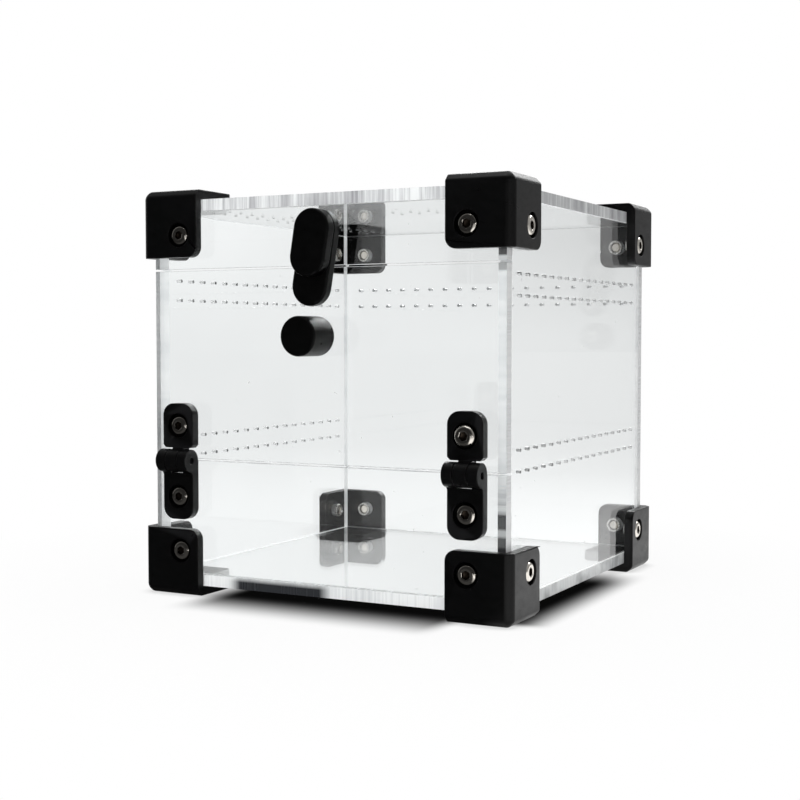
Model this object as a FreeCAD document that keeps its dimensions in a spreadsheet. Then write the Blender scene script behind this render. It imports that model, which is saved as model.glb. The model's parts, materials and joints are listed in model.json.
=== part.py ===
import FreeCAD, Part
import os

import Sketcher
from FreeCAD import Placement, Rotation, Vector

# Clear acrylic habitat for ants, about four inches cubed, with a drop-down front door.
# Millimetres. +X right, +Y back, +Z up, origin at the middle of the bounding box's base.
# Laser-cut 3 mm sheets are clamped at their eight corners by printed brackets. The door swings
# forward and down on two printed leaf hinges, and a swivel catch on it reaches over the strip above.

doc = FreeCAD.newDocument("Habitat")

# Driving dimensions: name, value, meaning
DIMENSIONS = [
    ("box_size", 101.6, "outer edge of the acrylic cube, four inches"),
    ("panel_thickness", 3.0, "acrylic sheet"),
    ("sill_height", 33.1, "top of the fixed lower front sheet, above the acrylic's base"),
    ("hinge_height", 33.25, "hinge axis above the acrylic's base"),
    ("door_bottom", 33.6, "door's lower edge above the acrylic's base"),
    ("door_top", 83.1, "door's upper edge above the acrylic's base"),
    ("strip_bottom", 83.6, "lower edge of the fixed upper strip"),
    ("vent_diameter", 1.2, "laser-cut vent hole"),
    ("vent_pitch", 5.27, "vents along a row, sides and top"),
    ("vent_pitch_back", 5.07, "vents along a row, back"),
    ("vent_row_gap", 5.2, "between the two rows of a pair"),
    ("vent_upper", 80.8, "upper row of the upper pair, above the acrylic's base"),
    ("vent_drop", 42.2, "upper pair down to lower pair on the side sheets"),
    ("vent_top_side", 32.0, "top sheet's first row along the left side, from the centre"),
    ("vent_top_front", 20.4, "top sheet's first row across the front, from the centre"),
    ("bracket_plate", 2.6, "plate thickness of a corner bracket"),
    ("bracket_reach", 17.5, "outer edge of a bracket along the box's width and depth"),
    ("bracket_height", 17.7, "outer edge of a bracket up the box"),
    ("bracket_chamfer", 1.6, "bracket's three outer edges"),
    ("bracket_corner_radius", 2.7, "rounding of each plate's free corner"),
    ("screw_inset", 9.3, "bracket screw axis from the acrylic's outer faces"),
    ("screw_diameter", 3.0, "bracket and hinge screw, and its insert's bore"),
    ("screw_hole", 3.2, "clearance hole for it in brackets and hinge leaves"),
    ("screw_length", 4.0, "under the head"),
    ("head_diameter", 5.5, "button head"),
    ("head_height", 1.65, "button head"),
    ("head_socket", 2.0, "hex socket across flats"),
    ("bore_diameter", 6.4, "counterbore round a button head"),
    ("bore_floor", 0.9, "plate left under a counterbore"),
    ("insert_diameter", 4.2, "threaded insert pressed into the acrylic"),
    ("insert_length", 3.6, "insert, standing proud inside"),
    ("small_diameter", 2.5, "knob screw and catch pivot thread"),
    ("knob_screw_length", 8.0, "under the head"),
    ("pivot_screw_length", 6.0, "under the head"),
    ("small_head", 4.5, "their button head"),
    ("small_head_height", 1.25, "their button head"),
    ("small_socket", 1.5, "their hex socket across flats"),
    ("hinge_left", -42.0, "left hinge centre from the middle"),
    ("hinge_right", 41.3, "right hinge centre from the middle"),
    ("leaf_width", 9.4, "hinge leaf along the axis"),
    ("leaf_thickness", 2.6, "hinge leaf"),
    ("leaf_up", 15.0, "upper leaf's top above the axis"),
    ("leaf_down", 15.6, "lower leaf's bottom below the axis"),
    ("leaf_corner_radius", 3.2, "outer corners of both leaves"),
    ("leaf_chamfer", 0.8, "lower corners of the upper leaf"),
    ("leaf_screw_up", 9.1, "upper leaf's screw above the axis"),
    ("leaf_screw_down", 9.6, "lower leaf's screw below the axis"),
    ("proud_screw", 1.2, "how far the right hinge's upper screw stands unscrewed"),
    ("axis_offset", 3.15, "hinge axis in front of the acrylic's face"),
    ("knuckle_radius", 3.0, "hinge barrel"),
    ("knuckle_middle", 3.5, "length of the upper leaf's middle knuckle"),
    ("knuckle_gap", 0.2, "each side of the middle knuckle"),
    ("knuckle_relief", 0.3, "clearance round a turning knuckle and over the fixed ones"),
    ("knuckle_fillet", 1.2, "under the lower leaf's barrel"),
    ("web_fillet", 0.28, "over the middle knuckle"),
    ("pin_diameter", 1.75, "hinge pin"),
    ("pin_recess", 0.5, "pin end inside the barrel's end"),
    ("running_gap", 0.08, "radial clearance of what turns on a pin or screw"),
    ("knob_diameter", 10.0, "door knob"),
    ("knob_length", 9.5, "door knob"),
    ("knob_chamfer", 0.4, "knob's front edge"),
    ("knob_across", -0.8, "knob centre from the middle"),
    ("knob_height", 65.9, "knob centre above the acrylic's base"),
    ("knob_thread_depth", 5.5, "knob's blind thread"),
    ("latch_width", 10.0, "catch arm and finger grip"),
    ("latch_length", 24.2, "catch arm end to end"),
    ("latch_plate", 2.8, "catch arm thickness"),
    ("pivot_thread_depth", 2.4, "catch arm's blind thread"),
    ("grip_length", 17.0, "finger grip end to end"),
    ("grip_plate", 3.0, "finger grip thickness"),
    ("grip_chamfer", 0.4, "front edges of arm and grip"),
    ("latch_gap", 0.2, "catch arm to the acrylic"),
    ("latch_tilt", 9.4, "degrees that the catch leans to the right as found"),
    ("pivot_across", -1.4, "catch pivot from the middle"),
    ("pivot_height", 78.4, "catch pivot above the acrylic's base"),
    ("washer_diameter", 5.0, "washer under the pivot screw's head"),
    ("washer_thickness", 0.5, "washer under the pivot screw's head"),
    ("magnet_diameter", 5.0, "catch magnet and keeper magnet"),
    ("magnet_thickness", 2.0, "catch magnet"),
    ("magnet_reach", 12.5, "both magnets from the catch pivot, along the arm"),
]

sheet = doc.addObject("Spreadsheet::Sheet", "Dimensions")
for row, (alias, number, meaning) in enumerate(DIMENSIONS, start=1):
    sheet.set(f"A{row}", meaning)
    sheet.set(f"B{row}", str(number))
    sheet.setAlias(f"B{row}", alias)
doc.recompute()


class Size:
    """A length that knows both its number and its expression in the sheet."""

    def __init__(self, number, text):
        self.number = number
        self.text = text

    def combine(self, other, sign, number):
        text = other.text if isinstance(other, Size) else str(other)
        return Size(number, f"({self.text} {sign} {text})")

    def __add__(self, other):
        return self.combine(other, "+", self.number + plain(other))

    def __sub__(self, other):
        return self.combine(other, "-", self.number - plain(other))

    def __mul__(self, other):
        return self.combine(other, "*", self.number * plain(other))

    def __truediv__(self, other):
        return self.combine(other, "/", self.number / plain(other))

    def __neg__(self):
        return Size(-self.number, f"(0 - {self.text})")


def plain(value):
    """The number behind a Size, or the number itself."""
    return value.number if isinstance(value, Size) else value


def size(alias):
    """A cell of the sheet as a Size."""
    return Size(sheet.get(alias), f"Dimensions.{alias}")


def bind(item, path, value):
    """Tie one property of an object to the sheet."""
    if isinstance(value, Size):
        item.setExpression(path, value.text)
    else:
        item.setExpression(path, str(value))


def place(item, x=0, y=0, z=0, rotation=None):
    """Put an object at sheet-driven coordinates, turned by a plain rotation."""
    item.Placement = Placement(Vector(plain(x), plain(y), plain(z)), rotation or Rotation())
    for axis, value in zip("xyz", (x, y, z)):
        bind(item, f"Placement.Base.{axis}", value)


half_box = size("box_size") / 2
sheet_t = size("panel_thickness")
base_z = size("bracket_plate")
centre_y = (size("knob_length") - size("bracket_plate")) / 2
front_y = centre_y - half_box
back_y = centre_y + half_box
axis_z = base_z + size("hinge_height")
axis_y = front_y - size("axis_offset")

X_AXIS, Y_AXIS, Z_AXIS = Vector(1, 0, 0), Vector(0, 1, 0), Vector(0, 0, 1)
FACING_FRONT = Rotation(X_AXIS, 90)
FACING_BACK = Rotation(X_AXIS, -90)
FACING_RIGHT = Rotation(Y_AXIS, 90) * Rotation(Z_AXIS, 90)
FACING_LEFT = Rotation(Y_AXIS, -90) * Rotation(Z_AXIS, 90)

# Vents, screws, inserts, magnets and their holes are small and many, so they are drawn few-sided.
# Their true form is the circle through the corners. Two corners always lie level with the centre,
# so a part and its hole meet face to face.
VENT_SIDES = 4
SMALL_SIDES = 6
WIDE_SIDES = 12

# Bodies, sketches and the features used on them
NODES = []


def new_body(label, exported=True):
    body = doc.addObject("PartDesign::Body", label)
    body.Label = label
    if exported:
        NODES.append(body)
    return body


def origin_feature(body, role):
    """The body's own origin plane or axis with this role."""
    return next(item for item in body.Origin.OriginFeatures if item.Role == role)


def sketch_on(body, role, name):
    sketch = body.newObject("Sketcher::SketchObject", f"{body.Name}_{name}")
    sketch.AttachmentSupport = [(origin_feature(body, role), "")]
    sketch.MapMode = "FlatFace"
    return sketch


def fix(sketch, kind, geometry, point, value, name):
    """A driven coordinate of one point, measured from the sketch's origin."""
    index = sketch.addConstraint(Sketcher.Constraint(kind, -1, 1, geometry, point, plain(value)))
    sketch.renameConstraint(index, name)
    bind(sketch, f"Constraints.{name}", value)


def rectangle(sketch, left, bottom, right, top):
    """A rectangle whose four sides are driven from the sketch's origin."""
    corners = [(left, bottom), (right, bottom), (right, top), (left, top)]
    points = [Vector(plain(x), plain(y), 0) for x, y in corners]
    lines = [sketch.addGeometry(Part.LineSegment(points[i], points[(i + 1) % 4]), False) for i in range(4)]
    for i in range(4):
        sketch.addConstraint(Sketcher.Constraint("Coincident", lines[i], 2, lines[(i + 1) % 4], 1))
        sketch.addConstraint(Sketcher.Constraint("Horizontal" if i % 2 == 0 else "Vertical", lines[i]))
    tag = f"r{lines[0]}"
    fix(sketch, "DistanceX", lines[0], 1, left, tag + "_left")
    fix(sketch, "DistanceY", lines[0], 1, bottom, tag + "_bottom")
    fix(sketch, "DistanceX", lines[2], 1, right, tag + "_right")
    fix(sketch, "DistanceY", lines[2], 1, top, tag + "_top")


def circle(sketch, x, y, diameter):
    """A circle with a driven centre and diameter."""
    centre = Vector(plain(x), plain(y), 0)
    index = sketch.addGeometry(Part.Circle(centre, Z_AXIS, plain(diameter) / 2), False)
    tag = f"c{index}"
    fix(sketch, "DistanceX", index, 3, x, tag + "_x")
    fix(sketch, "DistanceY", index, 3, y, tag + "_y")
    number = sketch.addConstraint(Sketcher.Constraint("Diameter", index, plain(diameter)))
    sketch.renameConstraint(number, tag + "_diameter")
    bind(sketch, f"Constraints.{tag}_diameter", diameter)


def slot(sketch, low, high, width):
    """A round-ended slot along the sketch's Y, its end centres at low and high."""
    r, y0, y1 = plain(width) / 2, plain(low), plain(high)
    quarter = 1.5707963267948966
    bottom = Part.ArcOfCircle(Part.Circle(Vector(0, y0, 0), Z_AXIS, r), 2 * quarter, 4 * quarter)
    top = Part.ArcOfCircle(Part.Circle(Vector(0, y1, 0), Z_AXIS, r), 0, 2 * quarter)
    arc0 = sketch.addGeometry(bottom, False)
    side0 = sketch.addGeometry(Part.LineSegment(Vector(r, y0, 0), Vector(r, y1, 0)), False)
    arc1 = sketch.addGeometry(top, False)
    side1 = sketch.addGeometry(Part.LineSegment(Vector(-r, y1, 0), Vector(-r, y0, 0)), False)
    for first, second in ((arc0, side0), (side0, arc1), (arc1, side1), (side1, arc0)):
        sketch.addConstraint(Sketcher.Constraint("Tangent", first, 2, second, 1))
    sketch.addConstraint(Sketcher.Constraint("PointOnObject", arc0, 3, -2))
    sketch.addConstraint(Sketcher.Constraint("PointOnObject", arc1, 3, -2))
    fix(sketch, "DistanceY", arc0, 3, low, "low")
    fix(sketch, "DistanceY", arc1, 3, high, "high")
    number = sketch.addConstraint(Sketcher.Constraint("Radius", arc0, r))
    sketch.renameConstraint(number, "radius")
    bind(sketch, "Constraints.radius", width / 2)


def pad(body, sketch, length, symmetric=False, reverse=False):
    feature = body.newObject("PartDesign::Pad", f"{sketch.Name}_pad")
    feature.Profile = sketch
    bind(feature, "Length", length)
    feature.Midplane = symmetric
    feature.Reversed = reverse
    sketch.Visibility = False
    return feature


def pocket(body, sketch, length=None, symmetric=False, reverse=False):
    """Cut a sketch to a length, or right through when no length is given."""
    feature = body.newObject("PartDesign::Pocket", f"{sketch.Name}_cut")
    feature.Profile = sketch
    feature.Midplane = symmetric
    feature.Reversed = reverse
    if length is None:
        feature.Type = "ThroughAll"
    else:
        bind(feature, "Length", length)
    sketch.Visibility = False
    return feature


def prism(body, kind, role, name, sides, x, y, start, diameter, depth):
    """An Additive or Subtractive few-sided column, from a start height above an origin plane."""
    column = body.newObject(f"PartDesign::{kind}Prism", f"{body.Name}_{name}")
    column.AttachmentSupport = [(origin_feature(body, role), "")]
    column.MapMode = "FlatFace"
    column.Polygon = sides
    bind(column, "Circumradius", diameter / 2)
    bind(column, "Height", depth)
    column.AttachmentOffset = Placement(Vector(plain(x), plain(y), plain(start)), Rotation())
    for axis, value in zip("xyz", (x, y, start)):
        bind(column, f"AttachmentOffset.Base.{axis}", value)
    return column


def dress(body, kind, amount, chosen):
    """Fillet or chamfer the edges of the body's tip that the test picks."""
    doc.recompute()
    tip = body.Tip
    names = [f"Edge{i}" for i, edge in enumerate(tip.Shape.Edges, start=1) if chosen(edge)]
    feature = body.newObject(f"PartDesign::{kind}", f"{body.Name}_{kind.lower()}")
    feature.Base = (tip, names)
    bind(feature, "Radius" if kind == "Fillet" else "Size", amount)
    doc.recompute()
    return feature


def runs_along(edge, axis):
    """True for a straight edge parallel to one axis."""
    if edge.Curve.TypeId != "Part::GeomLine":
        return False
    return abs(abs(edge.tangentAt(edge.FirstParameter).dot(axis)) - 1) < 1e-6


def passes(edge, **where):
    """True when the edge's middle has these coordinates."""
    middle = edge.valueAt((edge.FirstParameter + edge.LastParameter) / 2)
    return all(abs(getattr(middle, axis) - plain(value)) < 1e-3 for axis, value in where.items())


# Acrylic sheets. Each sketch lies on the sheet's inner or lower face.
def acrylic(label, role, x, y, z, left, bottom, right, top):
    body = new_body(label)
    outline = sketch_on(body, role, "outline")
    rectangle(outline, left, bottom, right, top)
    pad(body, outline, sheet_t)
    place(body, x, y, z)
    return body


def small_hole(body, role, name, x, y, diameter, sides=SMALL_SIDES):
    """A few-sided hole right through a sheet."""
    return prism(body, "Subtractive", role, name, sides, x, y, 0, diameter, sheet_t)


def insert_holes(body, role, places):
    for number, (x, y) in enumerate(places, start=1):
        small_hole(body, role, f"insert_hole_{number}", x, y, size("insert_diameter"))


def vents(body, role, name, start, runs):
    """Rows of vents: one cut, repeated by (origin axis, step, count) runs."""
    first = small_hole(body, role, name, start[0], start[1], size("vent_diameter"), VENT_SIDES)
    doc.recompute()
    steps = []
    grid = body.newObject("PartDesign::MultiTransform", f"{body.Name}_{name}_grid")
    for axis, step, count in runs:
        row_of = body.newObject("PartDesign::LinearPattern", f"{body.Name}_{name}_{axis}{len(steps)}")
        row_of.Direction = (origin_feature(body, axis), [""])
        row_of.Reversed = plain(step) < 0
        bind(row_of, "Length", (-step if plain(step) < 0 else step) * (count - 1))
        row_of.Occurrences = count
        steps.append(row_of)
    grid.Originals = [first]
    grid.Transformations = steps
    body.Tip = grid
    doc.recompute()


inner = half_box - sheet_t
top_sheet_z = size("box_size") - sheet_t
inset = half_box - size("screw_inset")
low_screw = size("screw_inset")
high_screw = size("box_size") - size("screw_inset")
corners = [(across, level) for across in (-inset, inset) for level in (low_screw, high_screw)]
hinge_places = {"left": size("hinge_left"), "right": size("hinge_right")}
row_reach = size("vent_pitch") * 8
row_reach_back = size("vent_pitch_back") * 8.5

bottom_panel = acrylic("bottom_panel", "XY_Plane", 0, centre_y, base_z,
                       -half_box, -half_box, half_box, half_box)

top_panel = acrylic("top_panel", "XY_Plane", 0, centre_y, base_z + top_sheet_z,
                    -half_box, -half_box, half_box, half_box)
vents(top_panel, "XY_Plane", "side_vents", (-size("vent_top_side"), -row_reach),
      [("Y_Axis", size("vent_pitch"), 17), ("X_Axis", -size("vent_row_gap"), 2)])
vents(top_panel, "XY_Plane", "front_vents", (size("vent_pitch") * -5, -size("vent_top_front")),
      [("X_Axis", size("vent_pitch"), 14), ("Y_Axis", size("vent_row_gap"), 2)])

# The back sheet's sketch plane faces the front, so its pad runs forward from the outer face.
back_panel = acrylic("back_panel", "XZ_Plane", 0, back_y, base_z,
                     -half_box, sheet_t, half_box, top_sheet_z)
insert_holes(back_panel, "XZ_Plane", corners)
vents(back_panel, "XZ_Plane", "vents", (-row_reach_back, size("vent_upper")),
      [("X_Axis", size("vent_pitch_back"), 18), ("Z_Axis", -size("vent_row_gap"), 2)])

for label, x in (("left_panel", -half_box), ("right_panel", inner)):
    side_panel = acrylic(label, "YZ_Plane", x, centre_y, base_z, -inner, sheet_t, inner, top_sheet_z)
    insert_holes(side_panel, "YZ_Plane", corners)
    vents(side_panel, "YZ_Plane", "vents", (-row_reach, size("vent_upper")),
          [("Y_Axis", size("vent_pitch"), 17), ("Z_Axis", -size("vent_row_gap"), 2),
           ("Z_Axis", -size("vent_drop"), 2)])

# The three front sheets: their pads also run forward, from the inner face.
inner_front_y = front_y + sheet_t

front_bottom_panel = acrylic("front_bottom_panel", "XZ_Plane", 0, inner_front_y, base_z,
                             -half_box, sheet_t, half_box, size("sill_height"))
leaf_low_z = size("hinge_height") - size("leaf_screw_down")
insert_holes(front_bottom_panel, "XZ_Plane",
             [(-inset, low_screw), (inset, low_screw)] + [(x, leaf_low_z) for x in hinge_places.values()])

# Both magnets lie on the tilted arm's centre line. The tilt is small, so its sine and cosine
# are worked out once here from the sheet's angle.
tilt = Rotation(Y_AXIS, plain(size("latch_tilt")))
along_arm = tilt.multVec(Z_AXIS)
keeper_x = size("pivot_across") + size("magnet_reach") * round(along_arm.x, 6)
keeper_z = size("pivot_height") + size("magnet_reach") * round(along_arm.z, 6)

front_top_strip = acrylic("front_top_strip", "XZ_Plane", 0, inner_front_y, base_z,
                          -half_box, size("strip_bottom"), half_box, top_sheet_z)
insert_holes(front_top_strip, "XZ_Plane", [(-inset, high_screw), (inset, high_screw)])
prism(front_top_strip, "Subtractive", "XZ_Plane", "keeper_seat", WIDE_SIDES, keeper_x, keeper_z, 0,
      size("magnet_diameter"), sheet_t)

door_panel = acrylic("door_panel", "XZ_Plane", 0, inner_front_y, base_z,
                     -half_box, size("door_bottom"), half_box, size("door_top"))
leaf_high_z = size("hinge_height") + size("leaf_screw_up")
insert_holes(door_panel, "XZ_Plane", [(x, leaf_high_z) for x in hinge_places.values()])
small_hole(door_panel, "XZ_Plane", "knob_hole", size("knob_across"), size("knob_height"),
           size("small_diameter"))
pivot_hole = sketch_on(door_panel, "XZ_Plane", "pivot_hole")
circle(pivot_hole, size("pivot_across"), size("pivot_height"),
       size("small_diameter") + size("running_gap") * 2)
pocket(door_panel, pivot_hole, reverse=True)


# Fasteners. One master of each kind is linked into every place where it is used.
def button_screw(name, diameter, length, head, height, socket):
    """Button-head socket screw along +Z, the underside of its head at Z = 0."""
    screw = new_body(name, exported=False)
    prism(screw, "Additive", "XY_Plane", "head", WIDE_SIDES, 0, 0, 0, head, height)
    dress(screw, "Chamfer", height * 0.55, lambda e: passes(e, z=height))
    prism(screw, "Additive", "XY_Plane", "shank", SMALL_SIDES, 0, 0, -length, diameter, length)
    prism(screw, "Subtractive", "XY_Plane", "socket", 6, 0, 0, height * 0.4, socket * 1.1547, height)
    return screw


def small_screw(name, length):
    """The smaller button screw of knob and catch."""
    return button_screw(name, size("small_diameter"), length, size("small_head"),
                        size("small_head_height"), size("small_socket"))


def ring(name, sides, outer, hole, height):
    """A plain ring along +Z from Z = 0."""
    body = new_body(name, exported=False)
    prism(body, "Additive", "XY_Plane", "outside", sides, 0, 0, 0, outer, height)
    prism(body, "Subtractive", "XY_Plane", "hole", SMALL_SIDES, 0, 0, 0, hole, height)
    return body


main_screw = button_screw("main_screw", size("screw_diameter"), size("screw_length"),
                          size("head_diameter"), size("head_height"), size("head_socket"))
insert = ring("threaded_insert", SMALL_SIDES, size("insert_diameter"), size("screw_diameter"),
              size("insert_length"))


def group(label, master, places):
    """One node holding the same fastener at each (x, y, z, rotation) place."""
    links = []
    for number, (x, y, z, rotation) in enumerate(places, start=1):
        link = doc.addObject("App::Link", f"{label}_{number}")
        link.setLink(master)
        link.LinkPlacement = Placement(Vector(plain(x), plain(y), plain(z)), rotation)
        for axis, value in zip("xyz", (x, y, z)):
            bind(link, f"LinkPlacement.Base.{axis}", value)
        links.append(link)
    node = doc.addObject("Part::Compound", label)
    node.Label = label
    node.Links = links
    NODES.append(node)
    return node


# Corner brackets: drawn at the front left bottom corner of the box, then turned to each corner.
reach = size("bracket_reach")
tall = size("bracket_height")
plate = size("bracket_plate")
screw_at = plate + size("screw_inset")
bore_depth = plate - size("bore_floor")


def corner_bracket(label, x, y, z, rotation):
    body = new_body(label)
    for name, across, deep, height in (("base", reach, reach, plate), ("front", reach, plate, tall),
                                       ("side", plate, reach, tall)):
        outline = sketch_on(body, "XY_Plane", name)
        rectangle(outline, 0, 0, across, deep)
        pad(body, outline, height)

    def edge_at(edge, corner):
        """True for an edge along one axis that has the corner's coordinates on the other two."""
        return any(
            runs_along(edge, axis) and passes(edge, **{a: corner[a] for a in "xyz" if a != name})
            for name, axis in (("x", X_AXIS), ("y", Y_AXIS), ("z", Z_AXIS))
        )

    free = {"x": reach, "y": reach, "z": tall}
    outermost = {"x": 0, "y": 0, "z": 0}
    dress(body, "Fillet", size("bracket_corner_radius"), lambda edge: edge_at(edge, free))
    dress(body, "Chamfer", size("bracket_chamfer"), lambda edge: edge_at(edge, outermost))
    for role, name, into in (("XZ_Plane", "front", -1), ("YZ_Plane", "side", 0)):
        prism(body, "Subtractive", role, f"bore_{name}", WIDE_SIDES, screw_at, screw_at,
              bore_depth * into, size("bore_diameter"), bore_depth)
        prism(body, "Subtractive", role, f"hole_{name}", SMALL_SIDES, screw_at, screw_at,
              plate * into, size("screw_hole"), plate)
    place(body, x, y, z, rotation)


outer = half_box + plate
top_z = base_z + size("box_size") + plate
UPSIDE_DOWN = Rotation(X_AXIS, 180)
face_in = plate - size("bore_floor")
for level, z, flip, turn in (("bottom", 0, Rotation(), 0), ("top", top_z, UPSIDE_DOWN, 90)):
    screw_z = base_z + (low_screw if level == "bottom" else high_screw)
    for step, (row, side) in enumerate((("front", "left"), ("front", "right"),
                                        ("back", "right"), ("back", "left"))):
        x_side = -1 if side == "left" else 1
        y_side = -1 if row == "front" else 1
        corner_x, corner_y = outer * x_side, centre_y + outer * y_side
        spin = Rotation(Z_AXIS, 90 * step + turn)
        name = f"{level}_{row}_{side}"
        corner_bracket(f"bracket_{name}", corner_x, corner_y, z, spin * flip)
        facing_x = FACING_LEFT if side == "left" else FACING_RIGHT
        facing_y = FACING_FRONT if row == "front" else FACING_BACK
        on_end = (inset * x_side, centre_y + (outer - face_in) * y_side, screw_z, facing_y)
        on_side = ((outer - face_in) * x_side, centre_y + inset * y_side, screw_z, facing_x)
        group(f"screws_{name}", main_screw, [on_end, on_side])
        sleeve = half_box - size("insert_length")
        in_end = (inset * x_side, centre_y + sleeve * y_side, screw_z, facing_y)
        in_side = (sleeve * x_side, centre_y + inset * y_side, screw_z, facing_x)
        group(f"inserts_{name}", insert, [in_end, in_side])

# Hinges: each leaf is drawn about the hinge axis, the acrylic's face at Y = axis_offset.
leaf_half = size("leaf_width") / 2
leaf_t = size("leaf_thickness")
knuckle_r = size("knuckle_radius")
face_y = size("axis_offset")
leaf_front = face_y - leaf_t
leaf_foot = knuckle_r + size("knuckle_relief")


def leaf_plate(body, name, left, bottom, right, top):
    """A flat plate lying against the acrylic, with its sketch seen from the front."""
    outline = sketch_on(body, "XZ_Plane", name)
    outline.AttachmentOffset = Placement(Vector(0, 0, -plain(face_y)), Rotation())
    bind(outline, "AttachmentOffset.Base.z", -face_y)
    rectangle(outline, left, bottom, right, top)
    pad(body, outline, leaf_t)


def leaf_screw_hole(body, height):
    """A counterbored hole in a leaf, sunk from its front face."""
    depth = leaf_t - size("bore_floor")
    prism(body, "Subtractive", "XZ_Plane", "bore", WIDE_SIDES, 0, height, -(leaf_front + depth),
          size("bore_diameter"), depth)
    prism(body, "Subtractive", "XZ_Plane", "hole", SMALL_SIDES, 0, height, -face_y,
          size("screw_hole"), leaf_t)


def upper_leaf(label, x):
    body = new_body(label)
    leaf_plate(body, "plate", -leaf_half, leaf_foot, leaf_half, size("leaf_up"))
    dress(body, "Fillet", size("leaf_corner_radius"),
          lambda e: runs_along(e, Y_AXIS) and passes(e, z=size("leaf_up")))
    dress(body, "Chamfer", size("leaf_chamfer"),
          lambda e: runs_along(e, Y_AXIS) and passes(e, z=leaf_foot))
    web_half = size("knuckle_middle") / 2
    leaf_plate(body, "web", -web_half, 0, web_half, leaf_foot + size("leaf_chamfer"))
    barrel = sketch_on(body, "YZ_Plane", "barrel")
    circle(barrel, 0, 0, knuckle_r * 2)
    pad(body, barrel, size("knuckle_middle"), symmetric=True)
    dress(body, "Fillet", size("web_fillet"),
          lambda e: runs_along(e, X_AXIS) and passes(e, y=leaf_front)
          and 0 < e.CenterOfMass.z < plain(knuckle_r))
    bore = sketch_on(body, "YZ_Plane", "pin_bore")
    circle(bore, 0, 0, size("pin_diameter") + size("running_gap") * 2)
    pocket(body, bore, size("leaf_width"), symmetric=True)
    leaf_screw_hole(body, size("leaf_screw_up"))
    place(body, x, axis_y, axis_z)


def lower_leaf(label, x):
    body = new_body(label)
    leaf_plate(body, "plate", -leaf_half, -size("leaf_down"), leaf_half, 0)
    dress(body, "Fillet", size("leaf_corner_radius"),
          lambda e: runs_along(e, Y_AXIS) and passes(e, z=-size("leaf_down")))
    barrel = sketch_on(body, "YZ_Plane", "barrel")
    circle(barrel, 0, 0, knuckle_r * 2)
    pad(body, barrel, size("leaf_width"), symmetric=True)
    dress(body, "Fillet", size("knuckle_fillet"),
          lambda e: runs_along(e, X_AXIS) and passes(e, y=leaf_front)
          and -plain(knuckle_r) < e.CenterOfMass.z < 0)
    gap = sketch_on(body, "YZ_Plane", "knuckle_gap")
    rectangle(gap, -leaf_foot, -leaf_foot, face_y + 1, leaf_foot)
    pocket(body, gap, size("knuckle_middle") + size("knuckle_gap") * 2, symmetric=True)
    bore = sketch_on(body, "YZ_Plane", "pin_bore")
    circle(bore, 0, 0, size("pin_diameter"))
    pocket(body, bore, size("leaf_width"), symmetric=True)
    leaf_screw_hole(body, -size("leaf_screw_down"))
    place(body, x, axis_y, axis_z)


def hinge_pin(label, x):
    pin = doc.addObject("Part::Cylinder", label)
    pin.Label = label
    bind(pin, "Radius", size("pin_diameter") / 2)
    bind(pin, "Height", size("leaf_width") - size("pin_recess") * 2)
    place(pin, x - leaf_half + size("pin_recess"), axis_y, axis_z, FACING_RIGHT)
    NODES.append(pin)


head_seat = front_y - size("bore_floor")
for side, x in hinge_places.items():
    upper_leaf(f"hinge_upper_leaf_{side}", x)
    lower_leaf(f"hinge_lower_leaf_{side}", x)
    hinge_pin(f"hinge_pin_{side}", x)
    seat = head_seat - size("proud_screw") if side == "right" else head_seat
    high = base_z + leaf_high_z
    low = base_z + leaf_low_z
    sleeve_y = front_y + size("insert_length")
    group(f"hinge_upper_screw_{side}", main_screw, [(x, seat, high, FACING_FRONT)])
    group(f"hinge_lower_screw_{side}", main_screw, [(x, head_seat, low, FACING_FRONT)])
    group(f"hinge_upper_insert_{side}", insert, [(x, sleeve_y, high, FACING_FRONT)])
    group(f"hinge_lower_insert_{side}", insert, [(x, sleeve_y, low, FACING_FRONT)])

# Door knob, turned, held by a small screw from inside.
knob = new_body("door_knob")
disc = sketch_on(knob, "XZ_Plane", "disc")
circle(disc, 0, 0, size("knob_diameter"))
pad(knob, disc, size("knob_length"))
dress(knob, "Chamfer", size("knob_chamfer"), lambda e: passes(e, y=-size("knob_length")))
prism(knob, "Subtractive", "XZ_Plane", "thread", SMALL_SIDES, 0, 0, 0, size("small_diameter"),
      size("knob_thread_depth"))
place(knob, size("knob_across"), front_y, base_z + size("knob_height"))
group("knob_screw", small_screw("knob_screw_master", size("knob_screw_length")),
      [(size("knob_across"), inner_front_y, base_z + size("knob_height"), FACING_BACK)])

# Swivel catch: arm and grip are drawn upright about the pivot, then leaned as found.
pivot_x = size("pivot_across")
pivot_z = base_z + size("pivot_height")
latch_back = front_y - size("latch_gap")
arm_end = size("latch_length") - size("latch_width")
grip_low = arm_end + size("latch_width") - size("grip_length")

arm = new_body("latch_arm")
outline = sketch_on(arm, "XZ_Plane", "outline")
slot(outline, Size(0.0, "0"), arm_end, size("latch_width"))
pad(arm, outline, size("latch_plate"))
dress(arm, "Chamfer", size("grip_chamfer"), lambda e: passes(e, y=-size("latch_plate")))
prism(arm, "Subtractive", "XZ_Plane", "pivot_thread", SMALL_SIDES, 0, 0, 0, size("small_diameter"),
      size("pivot_thread_depth"))
prism(arm, "Subtractive", "XZ_Plane", "magnet_seat", WIDE_SIDES, 0, size("magnet_reach"), 0,
      size("magnet_diameter"), size("magnet_thickness"))
place(arm, pivot_x, latch_back, pivot_z, tilt)

grip = new_body("latch_grip")
outline = sketch_on(grip, "XZ_Plane", "outline")
slot(outline, grip_low, arm_end, size("latch_width"))
pad(grip, outline, size("grip_plate"))
dress(grip, "Chamfer", size("grip_chamfer"), lambda e: passes(e, y=-size("grip_plate")))
place(grip, pivot_x, latch_back - size("latch_plate"), pivot_z, tilt)

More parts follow.
